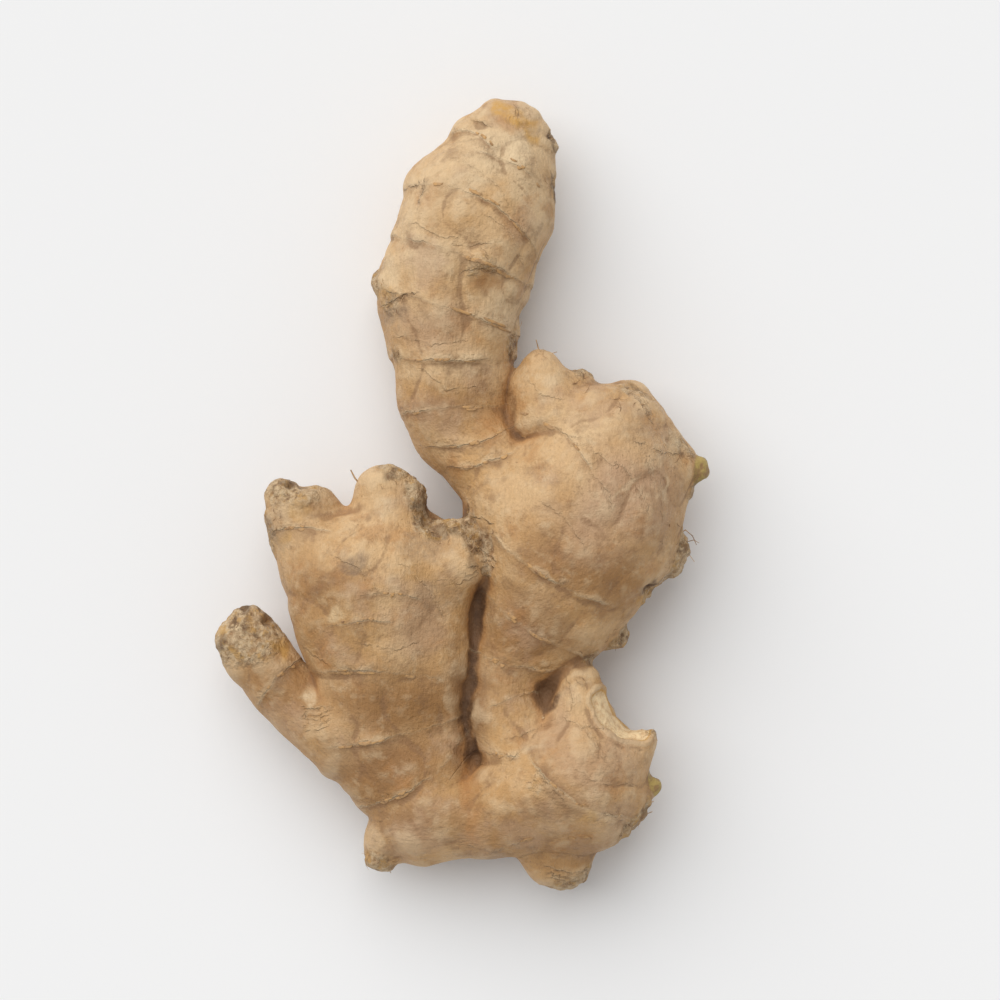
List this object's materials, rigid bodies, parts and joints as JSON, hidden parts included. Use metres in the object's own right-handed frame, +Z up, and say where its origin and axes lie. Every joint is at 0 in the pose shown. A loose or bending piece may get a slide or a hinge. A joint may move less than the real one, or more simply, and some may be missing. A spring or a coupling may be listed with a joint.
{
  "type": "ginger root",
  "caption": "Fresh ginger rhizome lying down: one long ringed finger, a broad hand with stubby fingers and a knobbly lobe and heel, grown as one solid.",
  "frame": {"origin": "middle of the rhizome's footprint, on the surface it rests on", "axes": "+Z up, +Y towards the long finger's tip, +X towards the lobe beside it"},
  "size_m": [0.0991, 0.1597, 0.0329],
  "materials": {
    "ginger_skin": "matte papery skin"
  },
  "bodies": {
    "root": {"ginger_root": "ginger_skin"}
  },
  "joints": []
}
